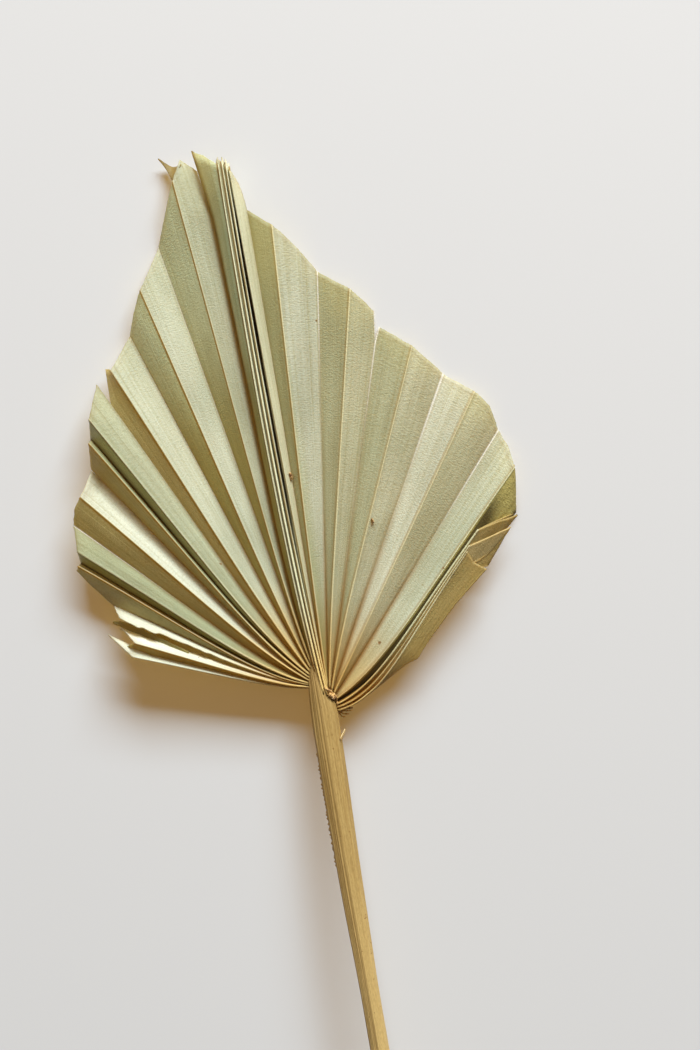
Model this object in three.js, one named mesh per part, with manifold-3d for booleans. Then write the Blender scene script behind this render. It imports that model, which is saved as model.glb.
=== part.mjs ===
// A palm spear: one dried fan-palm leaf, trimmed to a pointed outline, lying face up with its stalk.
// Millimetres, +Z up. The stalk runs along Y, the pointed tip is at +Y, and the surface it lies on is z = 0.
import * as THREE from 'three';
import { mergeVertices } from 'three/addons/utils/BufferGeometryUtils.js';
import Module from 'manifold-3d';

const wasm = await Module();
wasm.setup();

// Driving dimensions
const LEAF_LENGTH = 400;
const BLADE_LENGTH = 148.5; // from the hub, where the folds gather at the top of the stalk, to the tip
const HUB_X = -1;
const HUB_Y = LEAF_LENGTH / 2 - BLADE_LENGTH;
const SHEET = 0.35; // thickness of the dried blade
const MITRE_MOST = 4; // a sharp fold's edge is drawn out to at most this many half thicknesses
const HUB_THICK = 3; // the blade's base, where all the folds are pressed together
const HUB_RISE = 6.4; // height of the middle of that base
const VALLEY_ROOT = 5.4; // height at which a valley would meet the hub
const PLEAT_ROOT = 0.22; // height of a pleat there, as a share of its height at the outer end
const SEAT_GAP = 0.3; // room between the blade and the stalk that carries it
const LOW = 0.46; // height of the middle of the sheet where a valley's outer end lies on the surface

// The folds from the lower left corner round to the lower right one. Each row is a fold's bearing (degrees
// clockwise from +Y), its reach from the hub, the height of its outer end and, where it isn't straight, how far
// its middle bows clockwise.
const FOLDS = [
  // three narrow strips at the lower left corner
  [-70.8, 51, 9], [-68.4, 55, 6.5], [-66.3, 52, 9.5], [-63.9, 56, 6.5], [-61, 57, 9.5], [-59, 60, 4.2],
  // the left side's pleats, two of them pressed nearly shut and the lower ones clear of the surface
  [-53.6, 72.5, 7.5], [-52.3, 73.5, 4.5], [-51, 74.5, 8.2], [-47.2, 79.5, 6.2], [-41.9, 82, 9.5],
  [-37.5, 85.5, 3], [-33.9, 90, 9.5], [-32.6, 93, 6.5], [-31.2, 94.5, 8.8], [-27.2, 101, 4.8],
  [-24, 101.5, 7.6], [-19.3, 108, 1.6], [-15, 116.5, 5.6], [-11, 126.5, LOW],
  // the peak beside the middle
  [-6.9, 140, 5.5], [-5.2, 145.5, 4.6], [-4, BLADE_LENGTH, 2.4],
  // the stack of four tight folds that stands up along the middle
  [-1.7, 140, 8.5], [-1.35, 141, 6.5], [-1, 141.5, 9], [-0.65, 141, 6.5], [-0.3, 139.5, 9],
  [0.05, 139, 6.5], [0.4, 137.5, 8.6],
  // the right side's wide pleats
  [0.9, 130, 4.6], [3.3, 124, 5.6], [8.7, 112, LOW], [13.5, 107, 4.6], [18.1, 100, LOW], [24.1, 94.5, 4.6],
  [30.6, 90.5, LOW], [36.7, 89, 4.8], [43.8, 84, LOW], [50.5, 78.5, 5.5],
  // the tight folds and the last panel at the lower right corner
  [56, 69.5, 3.4], [55.4, 62, 8.5], [57.6, 65, 6.2], [57, 59, 8.5], [59.2, 61, 6.2], [58.6, 55, 8],
  [60.8, 57, 6.5, 4],
];
const HUB_STATIONS = [0, 0.07]; // places along a fold, as shares of its length, where the base is pressed flat
const PLEAT_STATIONS = [0.14, 0.55, 1]; // places where it is pleated

// Where the folds start, inside the stalk, from the lower left fold to the lower right one (x, y from the hub)
const ROOT_LINE = new THREE.CatmullRomCurve3([
  new THREE.Vector3(-2.6, 0.3, 0),
  new THREE.Vector3(-2.8, 3.5, 0),
  new THREE.Vector3(-1.8, 7.5, 0),
  new THREE.Vector3(0, 10.5, 0),
  new THREE.Vector3(1.6, 4, 0),
  new THREE.Vector3(2.6, -1.5, 0),
  new THREE.Vector3(2.9, -7, 0),
]);

// The stalk from its cut end up to the thin rib between the pleats: y, height of its middle, width, thickness
const STALK_X = HUB_X + 0.4;
const STALK_ROWS = [
  [-LEAF_LENGTH / 2, 1.75, 5.2, 4.6],
  [-150, 6.2, 5.2, 4.6],
  [-100, 9.6, 5.3, 4.7],
  [-50, 11, 5.6, 4.9],
  [0, 9.9, 6.6, 5.3],
  [32, 7.8, 7.6, 5.7],
  [44, 7, 8, 5.8],
  [51, 6.6, 7.8, 5.6],
  [58, 6.6, 5.8, 5],
  [66, 6.8, 2.6, 4],
];
const STALK_SIDES = 16;
const STALK_BACK = 0.75; // the underside is flatter than the top

/** A closed solid through rings of equal point counts, each ring convex and the ends closed by fans. */
function loft(rings) {
  const sides = rings[0].length;
  const faces = [];
  for (let r = 0; r + 1 < rings.length; r += 1) {
    for (let k = 0; k < sides; k += 1) {
      const a = r * sides + k;
      const b = r * sides + ((k + 1) % sides);
      faces.push(a, b, b + sides, a, b + sides, a + sides);
    }
  }
  const last = (rings.length - 1) * sides;
  for (let k = 1; k + 1 < sides; k += 1) {
    faces.push(0, k + 1, k);
    faces.push(last, last + k, last + k + 1);
  }
  const geometry = new THREE.BufferGeometry().setFromPoints(rings.flat());
  geometry.setIndex(faces);
  return geometry;
}

/** Geometry as a solid that can be joined and cut. */
function toSolid(geometry) {
  const bare = new THREE.BufferGeometry();
  bare.setAttribute('position', geometry.getAttribute('position'));
  bare.setIndex(geometry.getIndex());
  const merged = mergeVertices(bare);
  const mesh = new wasm.Mesh({
    numProp: 3,
    vertProperties: new Float32Array(merged.getAttribute('position').array),
    triVerts: new Uint32Array(merged.getIndex().array),
  });
  return new wasm.Manifold(mesh);
}

/** A solid as geometry again. */
function toGeometry(solid) {
  const mesh = solid.getMesh();
  const geometry = new THREE.BufferGeometry();
  geometry.setAttribute('position', new THREE.BufferAttribute(new Float32Array(mesh.vertProperties), 3));
  geometry.setIndex(new THREE.BufferAttribute(new Uint32Array(mesh.triVerts), 1));
  geometry.computeVertexNormals();
  return geometry;
}

/** The largest closed body of a solid: crumbs and shut-in hollows are left out. */
function mainBody(solid) {
  const bodies = solid.decompose();
  return bodies.reduce((best, body) => (body.volume() > best.volume() ? body : best));
}

/** A fold as a function of the share of its length, place being its share of the way round the fan. */
function foldLine([bearing, reach, height, bow = 0], place) {
  const angle = THREE.MathUtils.degToRad(bearing);
  const hub = new THREE.Vector3(HUB_X, HUB_Y, VALLEY_ROOT + PLEAT_ROOT * height);
  const root = ROOT_LINE.getPoint(place).add(hub);
  const tip = new THREE.Vector3(HUB_X + reach * Math.sin(angle), HUB_Y + reach * Math.cos(angle), height);
  const sideways = new THREE.Vector3(Math.cos(angle), -Math.sin(angle), 0);
  return (share) => root.clone().lerp(tip, share).addScaledVector(sideways, bow * Math.sin(Math.PI * share));
}

/** The upward unit normal of the panel from one fold to the next, at a share of their length. */
function panelNormal(fold, next, share) {
  const across = next(share).sub(fold(share));
  const along = next(1).add(fold(1)).sub(next(0)).sub(fold(0));
  return across.cross(along).normalize();
}

/** Half the sheet's thickness at a fold: along both panels' normals, mitred where they meet. */
function halfSheet(folds, i, share) {
  const normals = [];
  if (i > 0) normals.push(panelNormal(folds[i - 1], folds[i], share));
  if (i + 1 < folds.length) normals.push(panelNormal(folds[i], folds[i + 1], share));
  const middle = normals.reduce((sum, normal) => sum.add(normal), new THREE.Vector3()).normalize();
  const stretch = Math.min(MITRE_MOST, 1 / Math.max(normals[0].dot(middle), 1 / MITRE_MOST));
  return middle.multiplyScalar((stretch * SHEET) / 2);
}

/** The blade as one folded sheet: upper and lower faces on a grid of folds and stations, joined by a rim. */
function foldedSheet() {
  const folds = FOLDS.map((row, i) => foldLine(row, i / (FOLDS.length - 1)));
  const rows = HUB_STATIONS.length + PLEAT_STATIONS.length;
  const upper = [];
  const lower = [];
  folds.forEach((fold, i) => {
    HUB_STATIONS.forEach((share) => {
      const point = fold(share);
      upper.push(point.clone().setZ(HUB_RISE + HUB_THICK / 2));
      lower.push(point.clone().setZ(HUB_RISE - HUB_THICK / 2));
    });
    PLEAT_STATIONS.forEach((share) => {
      const half = halfSheet(folds, i, share);
      upper.push(fold(share).add(half));
      lower.push(fold(share).sub(half));
    });
  });
  const under = upper.length;
  const faces = [];
  const quad = (a, b, c, d) => faces.push(a, b, c, a, c, d);
  for (let i = 0; i + 1 < folds.length; i += 1) {
    for (let j = 0; j + 1 < rows; j += 1) {
      const a = i * rows + j;
      const b = a + rows;
      quad(a, b, b + 1, a + 1);
      quad(under + a, under + a + 1, under + b + 1, under + b);
    }
    const root = i * rows;
    const tip = root + rows - 1;
    quad(root, under + root, under + root + rows, root + rows);
    quad(tip, tip + rows, under + tip + rows, under + tip);
  }
  const lastFold = (folds.length - 1) * rows;
  for (let j = 0; j + 1 < rows; j += 1) {
    quad(j, j + 1, under + j + 1, under + j);
    quad(lastFold + j, under + lastFold + j, under + lastFold + j + 1, lastFold + j + 1);
  }
  const geometry = new THREE.BufferGeometry().setFromPoints([...upper, ...lower]);
  geometry.setIndex(faces);
  return geometry;
}

/** The stalk, its section a rounded form with a flatter back, grown all round by margin. */
function stalkGeometry(margin) {
  const rings = STALK_ROWS.map(([y, middle, width, thickness], row) => {
    const ring = [];
    const end = row + 1 === STALK_ROWS.length ? margin : 0;
    for (let k = 0; k < STALK_SIDES; k += 1) {
      const turn = (-2 * Math.PI * k) / STALK_SIDES;
      const rise = Math.sin(turn) * (thickness / 2 + margin);
      const z = middle + (rise < 0 ? rise * STALK_BACK : rise);
      ring.push(new THREE.Vector3(STALK_X + Math.cos(turn) * (width / 2 + margin), y + end, z));
    }
    return ring;
  });
  return loft(rings);
}

/** The blade with room cut for the stalk. */
function bladeGeometry() {
  return toGeometry(mainBody(toSolid(foldedSheet()).subtract(toSolid(stalkGeometry(SEAT_GAP)))));
}

const bladeMaterial = new THREE.MeshStandardMaterial({ color: 0xb9b483, roughness: 0.72, metalness: 0 });
const stalkMaterial = new THREE.MeshStandardMaterial({ color: 0xc9a35a, roughness: 0.6, metalness: 0 });

const blade = new THREE.Mesh(bladeGeometry(), bladeMaterial);
blade.name = 'leaf_blade';

const stalk = new THREE.Mesh(stalkGeometry(0), stalkMaterial);
stalk.name = 'leaf_stalk';

const palmSpear = new THREE.Group();
palmSpear.add(blade, stalk);

export default palmSpear;
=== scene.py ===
"""A palm spear: one dried fan-palm leaf, trimmed to a pointed outline, lying face up with its stalk.

Lengths are in millimetres and become metres when a mesh is made. The stalk runs along Y, the pointed tip is
at +Y, and the surface that the leaf lies on is z = 0. Bearings are degrees clockwise from +Y about the hub,
which is where the folds gather at the top of the stalk. A share runs from nought to one.
"""
import math
from types import SimpleNamespace

import bpy
import numpy as np
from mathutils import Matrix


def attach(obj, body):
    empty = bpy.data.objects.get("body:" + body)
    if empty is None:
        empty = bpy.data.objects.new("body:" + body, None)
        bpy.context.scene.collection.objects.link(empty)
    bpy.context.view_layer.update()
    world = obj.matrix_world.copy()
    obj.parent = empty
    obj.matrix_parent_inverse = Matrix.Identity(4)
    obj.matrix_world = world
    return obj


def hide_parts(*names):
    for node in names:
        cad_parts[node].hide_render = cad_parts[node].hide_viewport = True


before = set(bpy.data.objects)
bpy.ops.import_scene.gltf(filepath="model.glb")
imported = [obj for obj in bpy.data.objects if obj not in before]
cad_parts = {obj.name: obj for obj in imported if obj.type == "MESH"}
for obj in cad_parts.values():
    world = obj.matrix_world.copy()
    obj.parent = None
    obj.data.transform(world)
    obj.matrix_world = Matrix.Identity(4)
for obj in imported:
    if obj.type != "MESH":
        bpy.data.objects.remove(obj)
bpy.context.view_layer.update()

MM = 0.001
HUB_X, HUB_Y = -1.0, 51.5
HUB = np.array([HUB_X, HUB_Y, 0.0])
SEED = 7

# The view: straight down on the leaf, which leans to the left of the picture's upright
CAMERA_HEIGHT = 450.0
VIEW_LENGTH = 283.5
VIEW_CENTRE = (13.5, 93.3)
LEAN = 9.5
SENSOR = 36.0

# The blade: its thickness, the ribs along its folds, and how many places there are along a fold
SHEET = 0.3
RIB_HEIGHT = 0.2
RIB_HALF_WIDTH = 0.2
STATIONS = 90
# Distances from a fold where a panel's columns stand, if the panel is wide enough
FOLD_STEPS = (0.0, 0.2, 0.45, 0.9, 1.7, 3.0)
COLUMNS = 2 * len(FOLD_STEPS)
LEAST_WIDTH = 1e-6
# How far a ridge starts above the line of the roots, and a valley below it
PLEAT_ROOT = 0.6
RIDGE, VALLEY, EDGE = 1, -1, 0
# The blade's finishes by number
UPPER, UNDER, DEPTHS = 0, 1, 2
# A distance that counts as nowhere near a fold or a tip
FAR = 50.0

# The folds from the lower left corner round to the lower right one: kind, bearing, reach from the hub,
# height of the outer end, and how far it bows clockwise
FOLDS = [
    (EDGE, -70.6, 50.8, 10.2, -1.2), (VALLEY, -68.8, 52.9, 8.2, -1.2),
    (RIDGE, -66.3, 51.0, 10.4, -1.3), (VALLEY, -63.9, 55.9, 6.5, -1.3),
    (EDGE, -61.1, 56.6, 9.5, -1.4), (VALLEY, -58.9, 60.0, 4.2, -1.6),
    (RIDGE, -53.8, 72.6, 7.4, -3.0), (VALLEY, -53.4, 72.8, 2.8, -2.9),
    (RIDGE, -51.1, 74.5, 8.2, -2.4), (VALLEY, -47.2, 79.2, 6.2, -1.9),
    (RIDGE, -41.9, 81.8, 9.4, -1.8), (VALLEY, -37.25, 84.8, 3.0, -2.0),
    (RIDGE, -33.9, 89.8, 9.4, -2.4), (VALLEY, -33.6, 90.6, 4.0, -2.4),
    (RIDGE, -31.25, 94.6, 8.8, -2.2), (VALLEY, -27.1, 100.9, 4.8, -1.4),
    (RIDGE, -24.0, 101.6, 7.6, -1.0), (VALLEY, -19.2, 107.8, 1.6, -0.5),
    (RIDGE, -15.05, 116.9, 5.6, -1.0), (VALLEY, -10.95, 126.4, 0.7, -0.3),
    (RIDGE, -6.95, 141.2, 5.4, -1.5), (VALLEY, -3.55, 137.3, 2.4, -1.7),
    (RIDGE, -1.71, 141.7, 8.5, -2.9), (VALLEY, -1.8, 142.6, 7.4, -2.3),
    (RIDGE, -1.32, 141.7, 9.0, -2.85), (VALLEY, -1.18, 142.6, 6.2, -2.4),
    (RIDGE, -0.95, 140.7, 9.0, -2.5), (VALLEY, -0.65, 142.2, 2.0, -2.4),
    (RIDGE, -0.56, 139.6, 8.6, -0.7), (VALLEY, 0.5, 129.5, 4.4, 0.4),
    (RIDGE, 3.3, 124.2, 7.2, -0.9), (VALLEY, 8.75, 111.9, 0.6, 0.0),
    (RIDGE, 13.45, 107.0, 4.6, -0.6), (VALLEY, 18.1, 98.4, 0.6, 0.0),
    (RIDGE, 24.15, 94.8, 3.4, -0.9), (VALLEY, 30.55, 90.4, 0.6, -0.4),
    (RIDGE, 36.7, 89.3, 3.2, 0.0), (VALLEY, 43.85, 83.9, 0.6, 0.3),
    (RIDGE, 50.5, 78.4, 4.6, 2.9), (VALLEY, 57.5, 70.1, 1.0, 3.2),
    (RIDGE, 53.8, 59.2, 8.5, 3.3), (VALLEY, 57.9, 69.8, 4.8, 3.6),
    (RIDGE, 55.1, 54.5, 8.5, 3.9), (VALLEY, 58.9, 66.3, 4.9, 4.2),
    (RIDGE, 55.8, 53.2, 8.2, 4.5), (EDGE, 63.4, 54.2, 6.8, 0.0),
]
# How far along a fold its bow is greatest, and the same for the folds of the tight middle stack
BOW_PLACE, STACK_BOW_PLACE = 0.3, 0.65
# The stack's first and last fold
STACK = (22, 30)
# The stack's folds are shallow near the stalk: their heights follow this power of the share of their length
STACK_DROP = 1.8
# Where the folds start beside the stalk: fold number, then x and y from the hub, and the height there
ROOTS = np.array([
    (0, -3.1, 0.8, 6.4), (8, -2.8, 2.0, 6.6), (12, -2.6, 3.4, 6.9), (16, -2.3, 5.0, 7.0),
    (21, -1.4, 7.0, 7.2), (22, -0.6, -0.6, 7.9), (23, -0.4, -0.9, 8.2), (24, 0.3, -1.2, 8.5),
    (26, 1.1, -1.6, 8.6), (28, 1.3, -1.6, 8.4), (29, 1.0, 0.6, 8.0), (30, 1.5, 0.6, 7.9),
    (33, 2.2, -0.4, 7.4), (36, 2.7, -1.8, 6.9), (38, 2.9, -3.2, 6.7), (40, 3.0, -4.6, 6.5),
    (44, 3.1, -6.2, 6.2), (45, 3.2, -7.4, 5.6),
])
# The last edge stands out clockwise from a straight line: share of its length, then how far
FREE_EDGE = np.array([(0, 0), (0.18, 1.9), (0.41, 3.1), (0.47, 4.2), (0.57, 2.8), (0.77, 0.9), (1, 0)])
# Folds that are split at the tip: share of the length where the split starts, then bearing, reach and height
# of the lip on the left side and of the lip on the right side
SPLITS = {
    1: (0.86, (-66.3, 58.6, 7.2), (-68.2, 53.1, 8.0)),
    11: (0.95, (-37.2, 84.6, 5.6), (-37.0, 85.3, 3.6)),
    15: (0.93, (-27.1, 101.0, 5.2), (-24.75, 103.3, 2.6)),
    21: (0.93, (-4.2, 142.9, 1.4), (-4.2, 147.9, 4.0)),
    33: (0.945, (17.3, 102.0, 1.2), (18.4, 98.2, 0.6)),
    44: (0.86, (63.1, 55.1, 4.2), (55.8, 53.2, 8.2)),
}
# The panel after this fold is torn out, so the folds on both sides of it are torn edges. They wander
# sideways by quick and slow random steps, which fade in between two shares of the length
TORN_AFTER = 3
TEAR = 0.5
TEAR_KNOTS, TEAR_SLOW_KNOTS = 34, 7
TEAR_RISE = (0.3, 0.6)
# Panels whose outer edge isn't straight: the fold before it, where across it the bulge is, and how far it
# reaches
TIP_BULGES = {
    5: (0.71, 3.4), 9: (0.5, 0.7), 20: (0.5, 4.6), 21: (0.6, 0.7), 28: (0.5, 1.2),
    36: (0.45, 1.6), 37: (0.5, 0.7), 40: (0.4, 0.8), 44: (0.4, -1.0),
}
# Every outer edge is a little uneven. All that is drawn out there fades in between two shares of the length
TIP_UNEVEN = 0.08
TIP_PULL = (0.8, 1.0)
# Panels swell by a share of their width, which fades in along them. They also ripple, less where they are
# narrower than the full width: height, then the length of one radian of the wave
SWELL = (-0.015, 0.05)
SWELL_RISE = (0.1, 0.6)
RIPPLES = ((0.1, 9.0), (0.06, 3.7))
RIPPLE_FULL_WIDTH = 6.0
# How far the grain runs across one panel, and its jump from panel to panel
GRAIN_ACROSS, GRAIN_JUMP = 9.0, 17.3

# How olive a panel is that has no tint of its own, with a small random spread
# Panels that rise clockwise face away from the light: their olive SHADED_TINT is painted shade
PALE_TINT, SHADED_TINT, TAN_TINT = 0.0, 0.6, 0.96
FIRST_TAN_PANEL = 38
TINT_SPREAD, TINT_MOST = 0.02, 0.98
# Tints of single panels, which carry much painted light and shade besides each panel's own tone: greens and
# olives darken panels that face away from the light or lie in a fold's shadow, and cream, straw and gold
# lighten some panels as painted light
OWN_TINTS = {
    # the strips at the lower left corner
    0: -0.5, 1: 0.7, 2: -0.8, 4: -0.6,
    # the left side
    5: 0.5, 6: 0.5, 7: 0.7, 8: 1.8, 10: -0.42, 12: 1.8, 13: 0.55, 14: 1.5, 17: -0.16, 19: -0.22,
    20: 1.2, 21: -0.13,
    # the right side
    28: -1.8, 29: 1.95, 30: -0.1, 31: 1.65, 32: 0.2, 33: 1.6, 34: 0.15, 35: -0.2, 36: 0.2, 37: 1.1,
    # the flaps at the lower right corner
    38: 0.85, 40: 0.95, 41: 0.95, 42: -2.9, 43: 0.95,
}
# All tints are above this
LEAST_TINT = -3.0
# The panels of the tight middle stack, their tint, and how far their ends are frayed
STACK_PANELS = tuple(range(22, 28))
STACK_TINT = -1.7
STACK_FRAY = 0.9
# Panels inside tight folds, which are darkened away from their ridges as painted shade, and what is added to
# their tint as a mark
DEEP_PANELS = STACK_PANELS + (1, 38, 39)
DEEP_MARK = 8.0
# Panels that let hardly any light through
OPAQUE_PANELS = STACK_PANELS + (7, 13, 38, 39)
# Valleys with a white line near the tip, which is mostly painted highlight on the edge of the crease
WHITE_VALLEYS = (9, 31, 33, 35, 37)
# Valleys that are dark slits of painted shade, and what is added to the distance from them as a mark
DARK_VALLEYS = (7, 13, 21, 39)
DARK_MARK = 100.0


def unit(vectors):
    """Vectors divided by their own length."""
    return vectors / np.maximum(np.linalg.norm(vectors, axis=-1, keepdims=True), 1e-9)


def smooth(low, high, values):
    """A soft step: nought below low, one above high, and a cubic in between."""
    share = np.clip((values - low) / (high - low), 0.0, 1.0)
    return share * share * (3.0 - 2.0 * share)


def around_hub(bearing, reach, height):
    """A point at a bearing and reach from the hub: x by the sine, y by the cosine."""
    angle = np.radians(bearing)
    x = HUB_X + reach * np.sin(angle)
    y = HUB_Y + reach * np.cos(angle)
    return np.stack([x, y, height + 0.0 * reach], axis=-1)


def add_mesh(name, points, faces, materials, corner_data=None, face_material=None, flat=False):
    """Puts points in millimetres and a list of face index arrays into a new mesh object at the origin."""
    mesh = bpy.data.meshes.new(name)
    corners = np.concatenate([f.ravel() for f in faces])
    sizes = np.concatenate([np.full(len(f), f.shape[1]) for f in faces])
    mesh.vertices.add(len(points))
    mesh.vertices.foreach_set("co", (points * MM).astype(np.float32).ravel())
    mesh.loops.add(len(corners))
    mesh.loops.foreach_set("vertex_index", corners.astype(np.int32))
    mesh.polygons.add(len(sizes))
    mesh.polygons.foreach_set("loop_start", np.concatenate([[0], np.cumsum(sizes)[:-1]]).astype(np.int32))
    mesh.polygons.foreach_set("use_smooth", np.full(len(sizes), not flat))
    for key, data in (corner_data or {}).items():
        layer = mesh.attributes.new(key, "FLOAT_VECTOR", "CORNER")
        layer.data.foreach_set("vector", data.astype(np.float32).ravel())
    for material in materials:
        mesh.materials.append(material)
    if face_material is not None:
        mesh.polygons.foreach_set("material_index", face_material.astype(np.int32))
    mesh.update(calc_edges=True)
    mesh.validate()
    piece = bpy.data.objects.new(name, mesh)
    bpy.context.collection.objects.link(piece)
    return piece


def fold_lines(stations):
    """Every fold as points from its root to its tip: a straight line between the two, bowed sideways by a
    wave that rises quickly from the root and fades towards the tip. The last edge has its own sideways
    steps."""
    rows = np.array([fold[1:] for fold in FOLDS])
    kind = np.array([fold[0] for fold in FOLDS])
    number = np.arange(len(rows))
    start = [np.interp(number, ROOTS[:, 0], ROOTS[:, k]) for k in (1, 2, 3)]
    root = np.stack([HUB_X + start[0], HUB_Y + start[1], start[2] + PLEAT_ROOT * kind], axis=-1)
    tip = around_hub(rows[:, 0], rows[:, 1], rows[:, 2])
    angle = np.radians(rows[:, 0])
    sideways = np.stack([np.cos(angle), -np.sin(angle), np.zeros(len(rows))], axis=-1)
    in_stack = (number >= STACK[0]) & (number <= STACK[1])
    place = stations / np.where(in_stack, STACK_BOW_PLACE, BOW_PLACE)[:, None]
    wave = place * np.exp(1 - place)
    bow = rows[:, 3][:, None] * (wave - stations * wave[:, -1:])
    bow[-1] = np.interp(stations, FREE_EDGE[:, 0], FREE_EDGE[:, 1])
    share = np.repeat(stations[None, :, None], 3, axis=2)
    share = np.repeat(share, len(rows), axis=0)
    share[in_stack, :, 2] = stations ** STACK_DROP
    return root[:, None] * (1 - share) + tip[:, None] * share + sideways[:, None] * bow[..., None]


def panel_sides(stations):
    """The two folds that bound each panel, with the tips of split valleys drawn apart to their own lips."""
    lines = fold_lines(stations)
    left, right = lines[:-1].copy(), lines[1:].copy()
    welded = np.full(len(left), len(stations) - 1)
    for fold, (start, left_lip, right_lip) in SPLITS.items():
        row = int(np.searchsorted(stations, start))
        share = np.clip((stations - stations[row]) / (1 - stations[row]), 0, 1)[:, None]
        for side, lip in ((right[fold - 1], left_lip), (left[fold], right_lip)):
            tip = around_hub(*np.array(lip, float))
            side[row:] = lines[fold, row] * (1 - share[row:]) + tip * share[row:]
        welded[fold] = row
    return left, right, welded


def torn(stations, rng):
    """A torn edge's sideways wander: random steps joined by straight lines, none at the root."""
    knots = np.linspace(0, 1, TEAR_KNOTS)
    quick = rng.normal(0, TEAR, TEAR_KNOTS)
    slow = rng.normal(0, TEAR, TEAR_SLOW_KNOTS)
    steps = quick + np.interp(knots, np.linspace(0, 1, TEAR_SLOW_KNOTS), slow)
    return np.interp(stations, knots, steps) * smooth(*TEAR_RISE, stations)


def panel_tints(kind, rng):
    """How olive each panel is: olive if it rises clockwise, which is painted shade on a panel facing away
    from the light, and else pale, the last ones tan, and most by a tint of their own. Below nought is paler
    cream, below minus one turns to straw and then gold, and above one is a darker green that is partly
    painted shade.
    Panels inside tight folds get their mark added."""
    tint = np.where(kind[:-1] == VALLEY, SHADED_TINT, PALE_TINT)
    tint[FIRST_TAN_PANEL:] = TAN_TINT
    tint = np.clip(tint + rng.normal(0, TINT_SPREAD, len(tint)), 0, TINT_MOST)
    for panel, value in OWN_TINTS.items():
        tint[panel] = value
    tint[list(STACK_PANELS)] = STACK_TINT
    tint[list(DEEP_PANELS)] += DEEP_MARK
    return tint


def column_shares(width):
    """Where a panel's columns stand, as shares of its width: at the steps from each fold, or evenly where
    that is nearer to the fold, and one in the middle."""
    step = np.array(FOLD_STEPS)[None, :, None]
    even = (np.arange(len(FOLD_STEPS)) / COLUMNS)[None, :, None]
    near = np.minimum(step / np.maximum(width[:, None], LEAST_WIDTH), even)
    middle = np.full((len(width), 1, STATIONS), 0.5)
    return np.concatenate([near, middle, 1 - near[:, ::-1]], axis=1)


def tip_lengths(share, rng):
    """How far each column's outer end is drawn out: a fine unevenness, a tent at each bulge and frayed ends
    in the middle stack, but nothing at the folds."""
    tip = rng.normal(0, TIP_UNEVEN, share.shape)
    for panel, (place, out) in TIP_BULGES.items():
        tip[panel] += out * np.interp(share[panel], [0, place, 1], [0, 1, 0])
    stack = list(STACK_PANELS)
    tip[stack] += np.abs(np.random.default_rng(SEED + 3).normal(0, STACK_FRAY, tip[stack].shape))
    tip[:, 0] = 0
    tip[:, -1] = 0
    return tip


def leaf_attributes(points, share, width, centre, rng):
    """What the finish reads at each point, as two vectors: the distances past its ridge, past its valley
    and from its root, and its place across the panel, its tint and the distance to its tip.

    The distance past a ridge is negative on its anticlockwise side, and that past a valley is negative
    unless the valley has a white line. A dark slit's mark makes it longer.
    """
    kind = np.array([fold[0] for fold in FOLDS])
    panels = len(points)
    to_left = share * width[:, None]
    to_right = (1 - share) * width[:, None]

    def distance_to(which):
        from_left = np.where((kind[:-1] == which)[:, None, None], to_left, FAR)
        from_right = np.where((kind[1:] == which)[:, None, None], to_right, FAR)
        return np.minimum(from_left, from_right)

    falling = np.where(kind[:-1] == RIDGE, 1.0, -1.0)[:, None, None]
    valley = np.where(kind[:-1] == VALLEY, np.arange(panels), np.arange(panels) + 1)
    white = np.where(np.isin(valley, WHITE_VALLEYS), 1.0, -1.0)[:, None, None]
    dark = DARK_MARK * np.isin(valley, DARK_VALLEYS)[:, None, None]
    past_ridge = distance_to(RIDGE) * falling
    past_valley = (distance_to(VALLEY) + dark) * white
    reach = np.linalg.norm(points - centre[:, None, :1], axis=-1)
    to_tip = np.linalg.norm(points[:, :, -1:] - points, axis=-1)
    tint = np.broadcast_to(panel_tints(kind, rng)[:, None, None], share.shape)
    number = np.arange(panels)[:, None, None]
    lines = np.stack([past_ridge, past_valley, reach], axis=-1)
    grain = np.stack([share * GRAIN_ACROSS + number * GRAIN_JUMP, tint, to_tip], axis=-1)
    return lines, grain


def blade_grid():
    """The blade's middle surface and what its finish reads, on panels x columns x stations.

    Between its two folds a panel is a straight line across. A shallow swell and a slow ripple, highest
    halfway across, stand along its normal, and its outer edge is drawn out along the panel.
    """
    rng = np.random.default_rng(SEED)
    stations = np.linspace(0, 1, STATIONS)
    left, right, welded = panel_sides(stations)
    panels = len(left)
    across = unit(right - left)
    for panel, side, sign in ((TORN_AFTER - 1, right, -1), (TORN_AFTER + 1, left, 1)):
        side[panel] += across[panel] * (sign * torn(stations, rng))[:, None]
    width = np.linalg.norm(right - left, axis=-1)
    share = column_shares(width)
    points = left[:, None] * (1 - share[..., None]) + right[:, None] * share[..., None]
    centre = (left + right) / 2
    along = unit(np.gradient(centre, axis=1))
    normal = unit(np.cross(across, along))
    hump = 4 * share * (1 - share)
    out = np.linalg.norm(centre - centre[:, :1], axis=-1)
    swell = rng.uniform(*SWELL, panels)[:, None] * width * smooth(*SWELL_RISE, stations)
    phase = rng.uniform(0, 2 * np.pi, (panels, len(RIPPLES), 1))
    ripple = sum(size * np.sin(out / length + phase[:, k]) for k, (size, length) in enumerate(RIPPLES))
    lift = swell + ripple * np.minimum(width / RIPPLE_FULL_WIDTH, 1.0)
    points += normal[:, None] * (hump * lift[:, None])[..., None]
    drawn_out = tip_lengths(share[:, :, -1], rng)[:, :, None] * smooth(*TIP_PULL, stations)
    points += along[:, None] * drawn_out[..., None]
    lines, grain = leaf_attributes(points, share, width, centre, rng)
    return points, lines, grain, welded


def cells(grid):
    """The four corners of every cell of a grid of indices, which lies in its last two axes."""
    corners = (grid[..., :-1, :-1], grid[..., 1:, :-1], grid[..., 1:, 1:], grid[..., :-1, 1:])
    return np.stack([corner.ravel() for corner in corners], axis=-1)


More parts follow.
